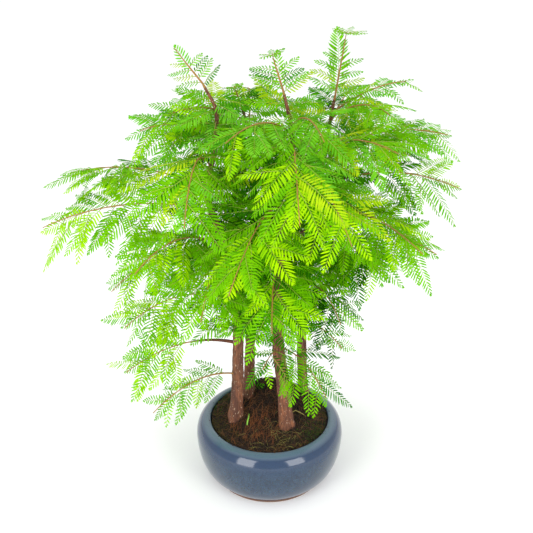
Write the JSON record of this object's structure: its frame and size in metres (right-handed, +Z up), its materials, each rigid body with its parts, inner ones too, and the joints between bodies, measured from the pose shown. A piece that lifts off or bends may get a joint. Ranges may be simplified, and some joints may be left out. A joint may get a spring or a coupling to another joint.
{
  "type": "dawn redwood bonsai forest in a glazed bowl",
  "caption": "Potted group of young dawn redwood trees: slim trunks with boughs and feathery needle sprays rising from a mossy soil mound in a squat glazed bowl.",
  "frame": {"origin": "middle of the pot's flat underside", "axes": "+Z up along the trunks, -Y towards the front of the planting, +X to the viewer's right"},
  "size_m": [0.5201, 0.4212, 0.6089],
  "materials": {
    "blue_glaze": "glossy grey-blue glaze with fine dark specks",
    "soil": "matt, moist and crumbly, with root fibres and moss",
    "bark": "rough, flaking",
    "bough_bark": "rough",
    "needles": "soft matt green"
  },
  "bodies": {
    "root": {"pot": "blue_glaze", "soil": "soil", "trunk_front_left": "bark", "trunk_back_left": "bark", "trunk_front_centre": "bark", "trunk_back_right": "bark", "bough_left_low": "bough_bark", "bough_left_middle": "bough_bark", "bough_left_wide": "bough_bark", "bough_left_upper": "bough_bark", "bough_left_inner": "bough_bark", "bough_back_left_middle": "bough_bark", "bough_front_low_left": "bough_bark", "bough_front_high": "bough_bark", "bough_right_long": "bough_bark", "bough_right_wide": "bough_bark", "bough_back_right_middle": "bough_bark", "foliage_leader_front_left": "needles", "foliage_leader_back_left": "needles", "foliage_leader_front_centre": "needles", "foliage_leader_back_right": "needles", "foliage_left_lowest": "needles", "foliage_left_low": "needles", "foliage_left_middle": "needles", "foliage_left_wide": "needles", "foliage_left_upper": "needles", "foliage_left_front": "needles", "foliage_front_left_high": "needles", "foliage_front_left_low": "needles", "foliage_top_left": "needles", "foliage_left_inner": "needles", "foliage_back_left_low": "needles", "foliage_back_left_middle": "needles", "foliage_back_left_high": "needles", "foliage_back_top": "needles", "foliage_top_inner_left": "needles", "foliage_front_low_left": "needles", "foliage_front_high": "needles", "foliage_front_right_high": "needles", "foliage_front_low": "needles", "foliage_front_right_lowest": "needles", "foliage_front_lowest": "needles", "foliage_right_front_high": "needles", "foliage_right_long": "needles", "foliage_top_front_left": "needles", "foliage_top_front_right": "needles", "foliage_right_wide": "needles", "foliage_right_high": "needles", "foliage_right_top": "needles", "foliage_right_low": "needles", "foliage_right_lowest": "needles", "foliage_front_right_middle": "needles", "foliage_right_middle": "needles", "foliage_top_right_front": "needles", "foliage_back_low": "needles", "foliage_back_right_middle": "needles", "foliage_back_right_low": "needles", "foliage_back_right_high": "needles", "foliage_back_top_right": "needles", "foliage_back_lowest": "needles"}
  },
  "joints": []
}
